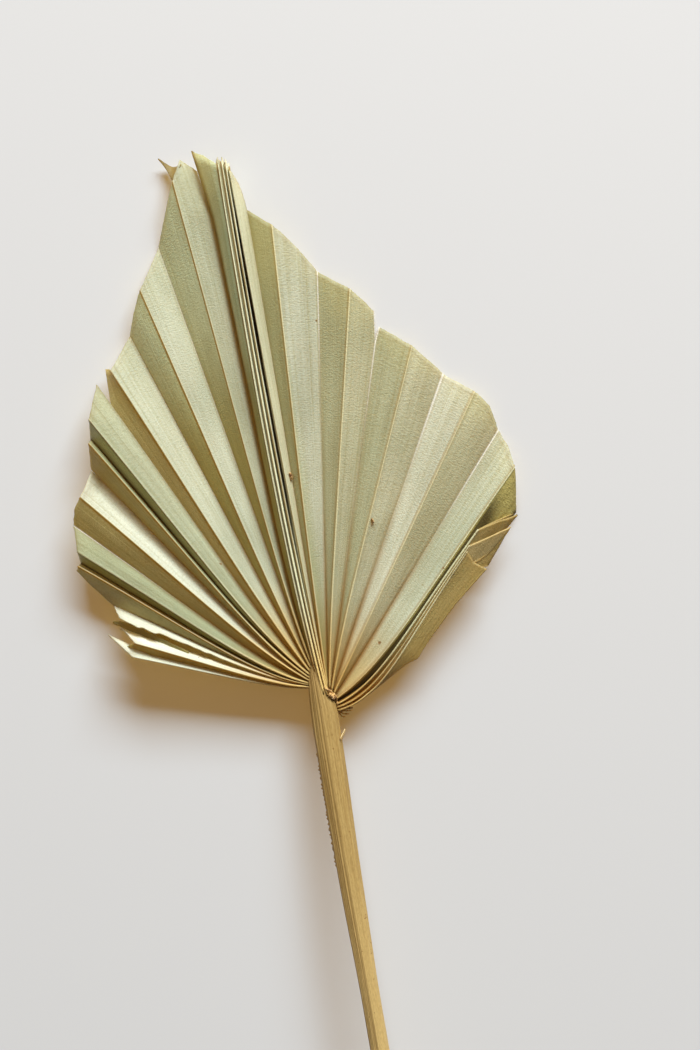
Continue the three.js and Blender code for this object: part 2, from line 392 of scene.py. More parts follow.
def blade():
    """The blade as a closed sheet: the middle surface pushed both ways along its normals by half the
    thickness, with a rib on the upper side of every ridge and the lower side of every valley, and a rim
    round its edges."""
    points, lines, grain, welded = blade_grid()
    panels, columns, rows = points.shape[:3]
    index = np.arange(points[..., 0].size).reshape(panels, columns, rows)
    node = index.copy()
    station = np.arange(rows)
    for panel in range(1, panels):
        if panel - 1 == TORN_AFTER or panel == TORN_AFTER:
            continue
        node[panel, 0] = np.where(station <= welded[panel], node[panel - 1, -1], index[panel, 0])
    kept = np.arange(panels) != TORN_AFTER
    top, data = cells(node[kept]), cells(index[kept])
    finish = np.where(np.isin(np.flatnonzero(kept), OPAQUE_PANELS), DEPTHS, UPPER)
    finish = np.repeat(finish, (columns - 1) * (rows - 1))
    lines, grain = lines.reshape(-1, 3), grain.reshape(-1, 3)
    upper_rib = RIB_HEIGHT * np.exp(-(lines[:, 0] / RIB_HALF_WIDTH) ** 2)
    lower_rib = RIB_HEIGHT * np.exp(-(lines[:, 1] / RIB_HALF_WIDTH) ** 2)
    ribs = upper_rib, lower_rib
    return closed_sheet("pleated_blade", points.reshape(-1, 3), top, data, lines, grain, ribs, finish)


def closed_sheet(name, flat, top, data, lines, grain, ribs, finish):
    """A sheet with two sides: points pushed both ways along their normals by half the thickness and the
    ribs, quads for the upper side, the same reversed for the lower side, and a rim along every edge that
    only one quad uses."""
    face_normal = np.cross(flat[top[:, 2]] - flat[top[:, 0]], flat[top[:, 3]] - flat[top[:, 1]])
    normals = np.zeros_like(flat)
    for corner in range(4):
        np.add.at(normals, top[:, corner], face_normal)
    normals = unit(normals)
    upper = flat + normals * (SHEET / 2 + ribs[0])[:, None]
    lower = flat - normals * (SHEET / 2 + ribs[1])[:, None]
    size = len(flat)
    edges = np.concatenate([top[:, [k, (k + 1) % 4]] for k in range(4)])
    key = np.sort(edges, axis=1)
    _, first, count = np.unique(key[:, 0] * size + key[:, 1], return_index=True, return_counts=True)
    a, b = edges[first[count == 1]].T
    rim = np.stack([b, a, a + size, b + size], axis=-1)
    faces = np.concatenate([top, top[:, ::-1] + size, rim])
    source = np.concatenate([data, data[:, ::-1], np.stack([b, a, a, b], axis=-1)])
    used, faces = np.unique(faces, return_inverse=True)
    faces = faces.reshape(-1, 4)
    finish = np.concatenate([finish, np.full(len(top), UNDER), np.full(len(rim), UPPER)])
    corner_data = {"fold_lines": lines[source.ravel()], "panel_grain": grain[source.ravel()]}
    points = np.concatenate([upper, lower])[used]
    return add_mesh(name, points, [faces], BLADE_FINISHES, corner_data, finish)


# Loose strips: two edges from the attached end to the free end, as x and y from the hub and height, then the
# tint and the distance from a ridge that it counts as
STRIPS = {
    # a curled tip, darkened brown as painted shade where it faces away from the light
    "curled_tip": (
        [(-17.1, 140.0, 4.6), (-17.7, 142.0, 3.2), (-18.5, 144.4, 2.2), (-20.0, 147.1, 2.7)],
        [(-14.2, 144.5, 3.6), (-16.2, 144.5, 1.6), (-17.8, 145.4, 1.0), (-20.1, 147.3, 2.6)],
        DEEP_MARK + 0.9, 0.85),
    "stalk_flake": (
        [(2.9, -13.9, 9.0), (3.3, -13.2, 8.8), (3.8, -12.5, 8.4), (4.3, -11.5, 7.8)],
        [(2.6, -13.5, 9.3), (3.0, -12.9, 9.2), (3.5, -12.2, 8.7), (4.2, -11.3, 8.0)],
        -0.8, FAR),
    # a dark sheet in the gap where a panel is torn out, put there as painted shade
    "gap_shade_sheet": (
        [(-8.2, 2.6, 6.3), (-22.9, 9.3, 5.9), (-36.6, 16.2, 5.4), (-47.2, 21.8, 4.9)],
        [(-8.0, 4.4, 6.3), (-22.3, 11.9, 5.7), (-35.4, 19.6, 5.0), (-45.8, 26.2, 4.2)],
        DEEP_MARK + 0.6, 0.84),
    # a torn layer in that gap, coloured dark brown as painted shade
    "torn_layer": (
        [(-33.6, 14.4, 7.2), (-41.6, 19.6, 6.8), (-48.4, 24.0, 6.3), (-52.0, 26.3, 6.0)],
        [(-33.3, 15.6, 7.6), (-41.2, 21.4, 7.2), (-48.2, 25.8, 6.6), (-52.1, 26.7, 6.1)],
        DEEP_MARK + 0.7, 0.85),
}
# Points of an edge, the grid of a strip, and how far its grain runs across it
EDGE_POINTS = 4
STRIP_STATIONS, STRIP_COLUMNS = 24, 9
STRIP_GRAIN = 4.0


def strips():
    """Each loose strip as a smooth sheet between its two edges, every edge a cubic through its four
    points."""
    made = []
    powers = np.vander(np.linspace(0, 1, STRIP_STATIONS), EDGE_POINTS)
    knots = np.linalg.inv(np.vander(np.linspace(0, 1, EDGE_POINTS), EDGE_POINTS))
    across = np.linspace(0, 1, STRIP_COLUMNS)[:, None, None]
    for name, (first, second, tint, past_ridge) in STRIPS.items():
        edges = [powers @ knots @ np.array(edge) for edge in (first, second)]
        grid = edges[0] * (1 - across) + edges[1] * across + HUB
        index = np.arange(grid[..., 0].size).reshape(grid.shape[:2])
        top = cells(index)
        flat = grid.reshape(-1, 3)
        reach = np.linalg.norm(flat[:, :2] - HUB[:2], axis=1)
        far = np.full(len(flat), FAR)
        lines = np.stack([np.full(len(flat), past_ridge), far, reach], axis=-1)
        spread = np.broadcast_to(across[..., 0] * STRIP_GRAIN, index.shape).ravel()
        grain = np.stack([spread, np.full(len(flat), tint), far], axis=-1)
        no_ribs = np.zeros((2, len(flat)))
        made.append(closed_sheet(name, flat, top, top, lines, grain, no_ribs, np.full(len(top), UPPER)))
    return made


# The stalk from its cut end up to the thin rib under the pleats: y, x, height of its middle, width and
# thickness
STALK_ROWS = np.array([
    (-200.0, -0.9, 1.75, 4.8, 4.6), (-150.0, -1.0, 6.2, 4.9, 4.6), (-100.0, -1.4, 9.6, 5.0, 4.7),
    (-50.0, -1.5, 11.0, 4.9, 4.9), (-27.0, -1.65, 11.0, 4.9, 5.0), (-5.0, -1.85, 10.2, 6.0, 5.2),
    (9.0, -1.85, 9.5, 6.4, 5.3), (25.0, -1.7, 8.4, 7.0, 5.6), (44.0, -1.5, 7.0, 7.3, 5.8),
    (50.0, -1.4, 6.7, 6.8, 5.6), (56.0, -2.0, 6.4, 4.4, 5.0), (62.0, -2.2, 5.4, 3.0, 3.6),
    (68.0, -2.0, 4.6, 1.6, 2.2), (73.0, -1.8, 4.0, 0.8, 1.2),
])
STALK_END, STALK_TOP = -200.0, 73.0
STALK_SIDES = 120
# The underside is flatter than the top
STALK_BACK = 0.75
# Its rows are averaged over this far each way, at this many places
STALK_BLUR, STALK_BLUR_PLACES = 6.0, 9
# Its rings stand closer from this y on: how many before it, and how many after
STALK_FINE_FROM, STALK_COARSE_RINGS, STALK_FINE_RINGS = -60.0, 70, 640
# Rings that close its two ends: size as a share of the last ring, and how far it is beyond it
CUT_END_RINGS = ((0.02, 0.0), (0.35, 0.0), (0.7, 0.0), (0.95, 0.0))
TOP_END_RINGS = ((0.8, 0.8), (0.4, 1.6), (0.02, 2.0))
# Lengthways fibres: waves round it, then height. Their phase starts anywhere and drifts along the stalk
FIBRES = ((7, 0.05), (13, 0.05), (21, 0.04), (34, 0.03))
FIBRE_PHASE = 6.28
FIBRE_DRIFT, FIBRE_KNOTS = 1.2, 8
# Lengthways grooves on its upper left side: where round it in degrees from the right, then depth. Their
# place drifts and their depth varies along the stalk
GROOVES = ((98, 0.10), (108, 0.17), (119, 0.20), (130, 0.16), (142, 0.20), (155, 0.18), (168, 0.12))
GROOVE_HALF_WIDTH = 2.5
GROOVE_DRIFT, GROOVE_KNOTS = 3.0, 12
GROOVE_DEPTHS, DEPTH_KNOTS = (0.3, 1.0), 16
# A row of small prickles on its left edge: from and to along y, and how many
PRICKLES = (35.0, 5.0, 30)
PRICKLE_JITTER = 0.35
PRICKLE_HEIGHTS = (0.1, 0.5)
PRICKLE_HALF_LENGTH, PRICKLE_HALF_TURN = 0.28, 0.22
# The roughness is less where the stalk is thinner than this
ROUGH_FULL_WIDTH = 5.0


def smooth_rows(y):
    """The stalk's x, height, width and thickness at y: straight lines between the rows, averaged along
    y."""
    window = np.linspace(-STALK_BLUR, STALK_BLUR, STALK_BLUR_PLACES)
    sample = np.clip(y[:, None] + window, STALK_END, STALK_TOP)
    return [np.interp(sample, STALK_ROWS[:, 0], STALK_ROWS[:, k]).mean(1) for k in (1, 2, 3, 4)]


def wander(y, rng, knots, low, high):
    """A random value along the stalk: straight lines between evenly spaced random knots."""
    return np.interp(y, np.linspace(STALK_END, STALK_TOP, knots), rng.uniform(low, high, knots))


def closing(ring, rows):
    """Rings that close an end: the last ring shrunk to its middle by each row's share and moved on along
    y."""
    share, step = np.array(rows).T
    centre = ring.mean(0)
    rings = centre + (ring - centre) * share[:, None, None]
    rings[..., 1] += step[:, None]
    return rings


def stalk():
    """The stalk: rounded rings with a flatter back along y, roughened by lengthways fibres and grooves.

    A ring's radius is that of an ellipse, plus waves round it whose phase drifts slowly along the stalk,
    less narrow bell-shaped grooves, plus small prickles on its left side. Rings that shrink to the middle
    close both ends.
    """
    rng = np.random.default_rng(SEED + 1)
    coarse = np.linspace(STALK_END, STALK_FINE_FROM, STALK_COARSE_RINGS, endpoint=False)
    y = np.concatenate([coarse, np.linspace(STALK_FINE_FROM, STALK_TOP, STALK_FINE_RINGS)])
    middle, height, width, thick = smooth_rows(y)
    turn = np.linspace(0, 2 * np.pi, STALK_SIDES, endpoint=False)[None]
    rough = np.zeros((len(y), STALK_SIDES))
    for waves, size in FIBRES:
        drift = wander(y, rng, FIBRE_KNOTS, -FIBRE_DRIFT, FIBRE_DRIFT)
        rough += size * np.cos(waves * turn + drift[:, None] + rng.uniform(0, FIBRE_PHASE))
    groove = np.zeros_like(rough)
    for place, depth in GROOVES:
        drift = wander(y, rng, GROOVE_KNOTS, -GROOVE_DRIFT, GROOVE_DRIFT)
        strength = wander(y, rng, DEPTH_KNOTS, *GROOVE_DEPTHS)
        off = (np.degrees(turn) - place - drift[:, None]) / GROOVE_HALF_WIDTH
        cut = strength[:, None] * np.exp(-off ** 2)
        rough -= depth * cut
        groove = np.maximum(groove, cut)
    side = np.exp(-((turn - np.pi) / PRICKLE_HALF_TURN) ** 2)
    for place in np.linspace(*PRICKLES) + rng.uniform(-PRICKLE_JITTER, PRICKLE_JITTER, PRICKLES[2]):
        along = np.exp(-((y[:, None] - place) / PRICKLE_HALF_LENGTH) ** 2)
        rough += rng.uniform(*PRICKLE_HEIGHTS) * along * side
    rough *= np.minimum(width / ROUGH_FULL_WIDTH, 1.0)[:, None]
    across = np.cos(turn) * (width[:, None] / 2 + rough)
    rise = np.sin(turn) * (thick[:, None] / 2 + rough)
    rise = np.where(rise < 0, rise * STALK_BACK, rise)
    ring_y = np.broadcast_to(y[:, None], across.shape)
    body = np.stack([middle[:, None] + across, ring_y, height[:, None] + rise], axis=-1)
    start = closing(body[0], CUT_END_RINGS)
    end = closing(body[-1], TOP_END_RINGS)
    points = np.concatenate([start, body, end])
    rings = len(points)
    grid = np.arange(rings * STALK_SIDES).reshape(rings, STALK_SIDES)
    onward = np.roll(grid, -1, axis=1)
    quads = np.stack([grid[:-1], grid[1:], onward[1:], onward[:-1]], axis=-1).reshape(-1, 4)
    caps = np.stack([grid[0], grid[-1][::-1]])
    place = np.concatenate([np.full(len(start), y[0]), y, np.full(len(end), y[-1])])
    mark = np.concatenate([np.ones(start.shape[:2]), -groove, np.zeros(end.shape[:2])])
    mark = np.concatenate([mark, mark[:, :1]], axis=1)
    place = np.broadcast_to(place[:, None], mark.shape)
    lap = np.broadcast_to(np.concatenate([turn[0], [2 * np.pi]]) / (2 * np.pi), mark.shape)
    first = np.stack([lap, place, mark], axis=-1)
    corner = [first[:-1, :-1], first[1:, :-1], first[1:, 1:], first[:-1, 1:]]
    quad_data = np.stack(corner, axis=2).reshape(-1, 3)
    cap_data = np.concatenate([first[0, :-1], first[-1, :-1][::-1]])
    data = {"stalk_grain": np.concatenate([quad_data, cap_data])}
    return add_mesh("fibrous_stalk", points.reshape(-1, 3), [quads, caps], [stalk_finish()], data)


# Crust where the pleats leave the right side of the stalk, a bump below it, frayed fibres and two blemishes:
# radius, then points as x and y from the hub and height
CRUST = {
    "hub_crust": (0.28, [(0.5, 1.0, 9.3), (1.3, -0.1, 9.4), (2.3, -0.7, 9.0), (3.0, -1.9, 8.2),
                         (3.3, -3.5, 7.4), (3.4, -5.4, 6.7), (3.5, -7.2, 6.0)]),
    "hub_bump": (0.5, [(1.5, -1.2, 9.1), (2.2, -2.0, 8.8), (2.6, -3.2, 8.2)]),
    "fibre_1": (0.20, [(3.2, -5.4, 6.4), (5.0, -6.2, 6.3), (7.6, -6.4, 5.7)]),
    "fibre_2": (0.16, [(3.3, -6.0, 6.0), (5.2, -6.9, 6.0), (7.4, -7.0, 5.2)]),
    "fibre_3": (0.18, [(3.3, -6.6, 5.7), (4.6, -7.6, 5.4), (6.3, -8.0, 4.6)]),
    "fibre_4": (0.14, [(3.3, -7.0, 5.3), (4.0, -8.3, 5.0), (5.0, -8.6, 4.2)]),
    "fibre_5": (0.13, [(3.2, -5.0, 6.6), (5.2, -5.6, 6.7), (6.6, -5.2, 6.3)]),
    "blemish_1": (0.34, [(0.9, 58.3, 8.0), (1.3, 57.2, 7.9), (1.1, 55.9, 7.9)]),
    "blemish_2": (0.26, [(20.4, 42.6, 5.7), (20.7, 42.0, 5.8), (20.7, 41.2, 5.8)]),
}
# Sides of a tube, and rings for each of its points
CRUST_SIDES, CRUST_RINGS = 14, 16
# How narrowly its line is averaged, how its radius wavers and between which shares, how lumpy it is, and how
# thin it gets at the ends
CRUST_NARROW = 6.0
CRUST_WAVER, CRUST_WAVER_KNOTS = 0.35, 24
CRUST_WAVER_RANGE = (0.4, 1.7)
CRUST_LUMPS = 0.14
CRUST_END = 0.02


def crust():
    """Bumpy tubes: rings round a smooth line through the points, with a radius that wavers and shrinks to
    the ends."""
    rng = np.random.default_rng(SEED + 2)
    finish = crust_finish()
    made = []
    turn = np.linspace(0, 2 * np.pi, CRUST_SIDES, endpoint=False)
    for name, (radius, points) in CRUST.items():
        points = np.array(points) + HUB
        count = CRUST_RINGS * len(points)
        share = np.linspace(0, 1, count)
        knots = np.linspace(0, 1, len(points))
        line = np.stack([np.interp(share, knots, points[:, k]) for k in range(3)], axis=-1)
        blur = np.exp(-((share[:, None] - share) * len(points)) ** 2 * CRUST_NARROW)
        line = (blur / blur.sum(1, keepdims=True)) @ line
        onward = unit(np.gradient(line, axis=0))
        sideways = unit(np.cross(onward, [0.0, 0.0, 1.0]))
        upward = np.cross(sideways, onward)
        steps = rng.normal(0, 1, CRUST_WAVER_KNOTS)
        waver = 1 + CRUST_WAVER * np.interp(share, np.linspace(0, 1, CRUST_WAVER_KNOTS), steps)
        taper = np.sqrt(np.clip(1 + CRUST_END - (2 * share - 1) ** 4, CRUST_END, 1))
        size = radius * np.clip(waver, *CRUST_WAVER_RANGE) * taper
        lumps = 1 + CRUST_LUMPS * rng.normal(0, 1, (count, CRUST_SIDES))
        spokes = np.cos(turn)[:, None] * sideways[:, None] + np.sin(turn)[:, None] * upward[:, None]
        rings = line[:, None] + spokes * (size[:, None] * lumps)[..., None]
        grid = np.arange(count * CRUST_SIDES).reshape(count, -1)
        turned = np.roll(grid, -1, axis=1)
        quads = np.stack([grid[:-1], turned[:-1], turned[1:], grid[1:]], axis=-1).reshape(-1, 4)
        caps = np.stack([grid[0][::-1], grid[-1]])
        made.append(add_mesh(name, rings.reshape(-1, 3), [quads, caps], [finish]))
    return made


def node_maker(name):
    """A new material, and node(kind, inputs), which adds a node to it. An input is a value or another
    node's output, and any other named value is a setting of the node."""
    material = bpy.data.materials.new(name)
    material.use_nodes = True
    tree = material.node_tree
    tree.nodes.clear()

    def node(kind, **values):
        made = tree.nodes.new(kind)
        inputs = values.pop("inputs", {})
        for key, value in values.items():
            setattr(made, key, value)
        for key, value in inputs.items():
            if isinstance(value, bpy.types.NodeSocket):
                tree.links.new(value, made.inputs[key])
            else:
                made.inputs[key].default_value = value
        return made

    return material, node


def maths(node, operation, first, second=0.0, clamp=False):
    """One arithmetic node's result."""
    made = node("ShaderNodeMath", operation=operation, use_clamp=clamp, inputs={0: first, 1: second})
    return made.outputs[0]


def times(node, first, second, clamp=False):
    """Two values multiplied."""
    return maths(node, "MULTIPLY", first, second, clamp)


def rest(node, value):
    """One less a value."""
    return maths(node, "SUBTRACT", 1.0, value)


def shifted(node, mask, change, start):
    """A value that is start where a mask is nought, with change added where it is one."""
    return maths(node, "ADD", times(node, mask, change), start)


def fade(node, value, start, end):
    """One where value is at start, falling or rising to nought at end."""
    made = node("ShaderNodeMapRange", interpolation_type="SMOOTHSTEP", clamp=True,
                inputs={"Value": value, "From Min": start, "From Max": end, "To Min": 1.0, "To Max": 0.0})
    return made.outputs[0]


def mixed(node, share, first, second, blend="MIX"):
    """Two colours mixed by share."""
    made = node("ShaderNodeMix", data_type="RGBA", blend_type=blend, inputs={0: share, 6: first, 7: second})
    return made.outputs[2]


def tinted(node, share, below, shade, blend="MIX"):
    """A colour mixed by share with a fixed shade."""
    return mixed(node, share, below, (*shade, 1), blend)


def noise(node, vector, scale=1.0, detail=2.0, rough=0.55):
    """A noise texture's grey value."""
    inputs = {"Vector": vector, "Scale": scale, "Detail": detail, "Roughness": rough}
    return node("ShaderNodeTexNoise", inputs=inputs).outputs["Fac"]


def bumped(node, height, strength):
    """A normal that is roughened by a height."""
    inputs = {"Strength": strength, "Distance": BUMP_DEPTH, "Height": height}
    return node("ShaderNodeBump", inputs=inputs).outputs[0]


def ramp(node, value, *stops):
    """A colour ramp from (place, colour) stops."""
    made = node("ShaderNodeValToRGB", inputs={0: value})
    elements = made.color_ramp.elements
    while len(elements) < len(stops):
        elements.new(0.5)
    for element, (place, colour) in zip(elements, stops):
        element.position = place
        element.color = (*colour, 1.0)
    return made.outputs[0]


# The blade's colours
PALE_SAGE = (0.60, 0.635, 0.47)
GREY_GREEN = (0.51, 0.56, 0.41)
GREEN_AND_PAINTED_SHADE = (0.315, 0.36, 0.185)
OLIVE_TAN = (0.47, 0.395, 0.06)
DRY_TAN = (0.52, 0.385, 0.14)
PALE_CREAM = (0.88, 0.88, 0.74)
STRAW = (0.80, 0.765, 0.47)
DRY_GOLD = (0.84, 0.62, 0.25)
RIB_CREAM_AND_HIGHLIGHT = (0.80, 0.75, 0.44)
LIP_HIGHLIGHT_WHITE = (0.95, 0.93, 0.80)
RIDGE_BROWN_AND_SHADE = (0.29, 0.17, 0.035)
VALLEY_SHADE_BROWN = (0.24, 0.135, 0.03)
SLIT_SHADE_BROWN = (0.07, 0.055, 0.012)
INNER_SHADE = (0.62, 0.54, 0.30)
OUTER_GREEN = (0.97, 1.08, 0.90)
BASE_ORANGE = (1.0, 0.68, 0.34)
FLECK_AND_EDGE_SHADE_BROWN = (0.20, 0.11, 0.04)
FOLD_SHADE_BROWN = (0.03, 0.02, 0.008)
LIGHT_THROUGH = (0.90, 0.62, 0.17)
UNDER_THROUGH = (1.0, 0.90, 0.70)


def vector_of(node, x, y, z):
    """Three numbers as one vector."""
    return node("ShaderNodeCombineXYZ", inputs={0: x, 1: y, 2: z}).outputs[0]


def split_attribute(node, name):
    """The three numbers of a vector attribute."""
    read = node("ShaderNodeAttribute", attribute_name=name)
    return node("ShaderNodeSeparateXYZ", inputs={0: read.outputs["Vector"]}).outputs


# Each finish of the blade: the colour of the light that comes through it, and its share of all light
BLADE_LIGHTS = {
    "dried_blade": (LIGHT_THROUGH, 0.35),
    "dried_blade_underside": (UNDER_THROUGH, 0.75),
    "dried_fold_depths": (LIGHT_THROUGH, 0.04),
}
# How deep a full bump is, in metres
BUMP_DEPTH = 0.4 * MM
LEAF_BUMP, LEAF_ROUGHNESS, LEAF_SPECULAR = 0.5, 0.44, 0.36
# The blade's grain and its patches of painted sheen, laid over its colour in this order: scale across a
# panel and along it, detail, roughness, how strongly it shows, and its stops from dark to light
WHITE = (1.0, 1.0, 1.0)
GRAIN_AND_SHEEN = {
    "veins": ((1.3, 0.004), 2.0, 0.55, 0.7,
              [(0.3, (0.80, 0.78, 0.66)), (0.5, WHITE), (0.7, (1.08, 1.08, 1.06))]),
    "fibres": ((5.0, 0.03), 3.0, 0.6, 0.5,
               [(0.32, (0.80, 0.78, 0.68)), (0.6, (1.04, 1.04, 1.03))]),
    # painted sheen: soft lighter and darker patches along the panels
    "patches": ((0.22, 0.035), 2.0, 0.55, 0.7,
                [(0.32, (0.84, 0.83, 0.79)), (0.5, WHITE), (0.68, (1.13, 1.13, 1.16))]),
    "wrinkles": ((1.2, 2.3), 3.0, 0.65, 0.55,
                 [(0.34, (0.74, 0.72, 0.60)), (0.52, WHITE), (0.68, (1.1, 1.1, 1.1))]),
}
# How far apart the grain of panels of different tints is taken
TINT_APART = 9.0
# Clouds of a second green: scale, and the noise's values where they are full and where they end
CLOUD_SCALE, CLOUD_EDGES = 38.0, (0.62, 0.38)
# The scale of the brown flecks
FLECK_SCALE = 420.0
# Tints that are dry tan, and the right side by x in metres, again from full to none
DRY_TINTS = (0.95, 0.75)
RIGHT_SIDE = (0.006, 0.0)
# How strong the painted shade along a valley's crease is, and how much more near the base, by the distance
# from the root
CREASE_STRENGTH, CREASE_MORE, CREASE_REACH = 0.25, 0.65, (12.0, 60.0)
# How strong a ridge's brown line is, which is partly painted shade, and how much less on the right, and the
# same for the painted shade in the depths of folds, which are shallow near the base on the left
RIDGE_LINE_STRENGTH, RIDGE_LINE_LESS = 0.95, -0.55
FOLD_SHADE_STRENGTH, FOLD_SHADE_LESS = 1.0, -0.15
SHALLOW_REACH = (12.0, 62.0)
# How wide a ridge's cream rib is, and how much more on its clockwise side; its cream is partly the rib's own
# pale colour and partly painted highlight. How strong it is, and how much more on the right and, near the
# hub, on the left. Beads break it up along the ridge
RIB_WIDTH, RIB_WIDER = 0.08, 0.28
RIB_STRENGTH, RIB_ON_RIGHT, RIB_BY_HUB, RIB_REACH = 0.4, 0.6, 0.5, (8.0, 48.0)
BEADS, LEAST_BEAD = (0.0, 1.1), 0.9
# The marks that are laid over the blade's colour, in this order: shade, how it is mixed in, how strongly,
# and what that is multiplied by. A name with two numbers is a reading that counts fully where it is at the
# first number and not at all where it is at the second
# Shaded panels on the left with a slightly negative tint: the paler tint is painted light on them, they are
# made greener, and INNER_SHADE darkens them towards the hub as painted shade
LIGHTENED_SHADED_PANELS = ("on_left", ("tint", -0.12, -0.07), ("tint", -0.3, -0.4))
MARKS = [
    (OUTER_GREEN, "MULTIPLY", 1.0, *LIGHTENED_SHADED_PANELS),
    (INNER_SHADE, "MULTIPLY", 1.0, *LIGHTENED_SHADED_PANELS, ("reach", 55.0, 112.0)),
    # painted shade along the valleys
    (VALLEY_SHADE_BROWN, "MIX", 1.0, "crease", ("to_valley", 0.0, 1.5)),
    # painted shade in the dark slits
    (SLIT_SHADE_BROWN, "MIX", 0.97, "dark_fold", ("to_valley", 0.5, 1.9)),
    # mostly painted highlight near the tips of some valleys
    (LIP_HIGHLIGHT_WHITE, "MIX", 1.0, "white_fold", ("to_tip", 0.0, 36.0), ("to_valley", 0.15, 0.5)),
    # the ridge's brown line, partly the rib's own brown and partly painted shade on its anticlockwise side
    (RIDGE_BROWN_AND_SHADE, "MIX", 1.0, "ridge_line", "anticlockwise", ("to_ridge", 0.35, 0.85)),
    (RIB_CREAM_AND_HIGHLIGHT, "MIX", 1.0, "rib"),
    (BASE_ORANGE, "MULTIPLY", 0.9, ("reach", 4.0, 30.0)),
    (FLECK_AND_EDGE_SHADE_BROWN, "MIX", 1.0, ("flecks", 0.82, 0.79)),
    # painted shade inside tight folds
    (FOLD_SHADE_BROWN, "MIX", 1.0, "deep", "depths", ("to_ridge", 1.1, 0.55), ("to_tip", 14.0, 4.0)),
    # darker towards every outer edge: painted shade against the light glowing through the thin edge
    (FLECK_AND_EDGE_SHADE_BROWN, "MIX", 0.24, ("to_tip", 0.1, 2.6)),
]


def leaf_readings(node):
    """All that the blade's colours are made from: its own attributes as separate values, with the marks
    taken out of them, and what follows from those."""
    leaf = SimpleNamespace()
    past_ridge, past_valley, leaf.reach = split_attribute(node, "fold_lines")
    leaf.across, tone, leaf.to_tip = split_attribute(node, "panel_grain")
    leaf.place = node("ShaderNodeTexCoord").outputs["Object"]
    leaf.to_ridge = maths(node, "ABSOLUTE", past_ridge)
    leaf.clockwise = maths(node, "GREATER_THAN", past_ridge, 0.0)
    leaf.white_fold = maths(node, "GREATER_THAN", past_valley, 0.0)
    leaf.dark_fold = maths(node, "LESS_THAN", past_valley, 1.0 - DARK_MARK)
    from_valley = maths(node, "ABSOLUTE", past_valley)
    leaf.to_valley = maths(node, "SUBTRACT", from_valley, times(node, leaf.dark_fold, DARK_MARK))
    leaf.deep = maths(node, "GREATER_THAN", tone, DEEP_MARK + LEAST_TINT)
    leaf.tint = maths(node, "SUBTRACT", tone, times(node, leaf.deep, DEEP_MARK))
    sideways = node("ShaderNodeSeparateXYZ", inputs={0: leaf.place}).outputs[0]
    leaf.on_right = fade(node, sideways, *RIGHT_SIDE)
    leaf.on_left = rest(node, leaf.on_right)
    leaf.anticlockwise = rest(node, leaf.clockwise)
    leaf.flecks = noise(node, leaf.place, FLECK_SCALE, 1.0)
    leaf.crease = shifted(node, fade(node, leaf.reach, *CREASE_REACH), CREASE_MORE, CREASE_STRENGTH)
    leaf.ridge_line = shifted(node, leaf.on_right, RIDGE_LINE_LESS, RIDGE_LINE_STRENGTH)
    shallow = times(node, fade(node, leaf.reach, *SHALLOW_REACH), leaf.on_left)
    depths = shifted(node, leaf.on_right, FOLD_SHADE_LESS, FOLD_SHADE_STRENGTH)
    leaf.depths = times(node, depths, rest(node, shallow))
    leaf.rib = ridge_rib(node, leaf)
    return leaf


def along_panel(node, leaf, across_scale, reach_scale):
    """A noise texture's place on a panel: across it, along it, and apart from panels of other tints."""
    across = times(node, leaf.across, across_scale)
    along = times(node, leaf.reach, reach_scale)
    return vector_of(node, across, along, times(node, leaf.tint, TINT_APART))


def panel_colour(node, leaf):
    """Two sage greens in clouds, turned by the panel's tint: above one to a darker green that is partly
    painted shade, from nought up to olive, painted shade on shaded panels, and then dry tan, and below
    nought to cream, straw and gold in turn, which on some panels is painted light."""
    clouds = fade(node, noise(node, leaf.place, CLOUD_SCALE, 3.0), *CLOUD_EDGES)
    colour = tinted(node, clouds, (*PALE_SAGE, 1), GREY_GREEN)
    not_green = maths(node, "LESS_THAN", leaf.tint, 1.0)
    olive = times(node, not_green, maths(node, "MAXIMUM", leaf.tint, 0.0))
    dry = times(node, not_green, fade(node, leaf.tint, *DRY_TINTS))
    colour = tinted(node, maths(node, "SUBTRACT", leaf.tint, 1.0, True), colour, GREEN_AND_PAINTED_SHADE)
    colour = tinted(node, olive, colour, OLIVE_TAN)
    colour = tinted(node, dry, colour, DRY_TAN)
    for start, shade in ((0.0, PALE_CREAM), (-1.0, STRAW), (-2.0, DRY_GOLD)):
        colour = tinted(node, maths(node, "SUBTRACT", start, leaf.tint, True), colour, shade)
    return colour


def ridge_rib(node, leaf):
    """How much of a ridge's cream rib shows, which is partly painted highlight: most on the ridge itself,
    fading to nought at the rib's width."""
    width = shifted(node, leaf.clockwise, RIB_WIDER, RIB_WIDTH)
    rib = maths(node, "SUBTRACT", 1.0, maths(node, "DIVIDE", leaf.to_ridge, width), True)
    beads = noise(node, along_panel(node, leaf, *BEADS))
    rib = times(node, rib, maths(node, "ADD", beads, LEAST_BEAD), True)
    by_hub = times(node, fade(node, leaf.reach, *RIB_REACH), leaf.on_left)
    by_hub = times(node, by_hub, RIB_BY_HUB)
    strength = maths(node, "ADD", by_hub, shifted(node, leaf.on_right, RIB_ON_RIGHT, RIB_STRENGTH), True)
    return times(node, rib, strength)


def marked(node, values, colour, marks):
    """The colour with every mark laid over it, each by its strength times all its readings."""
    for shade, blend, share, *readings in marks:
        for reading in readings:
            if isinstance(reading, str):
                part = getattr(values, reading)
            else:
                name, start, end = reading
                part = fade(node, getattr(values, name), start, end)
            share = times(node, share, part)
        colour = tinted(node, share, colour, shade, blend)
    return colour


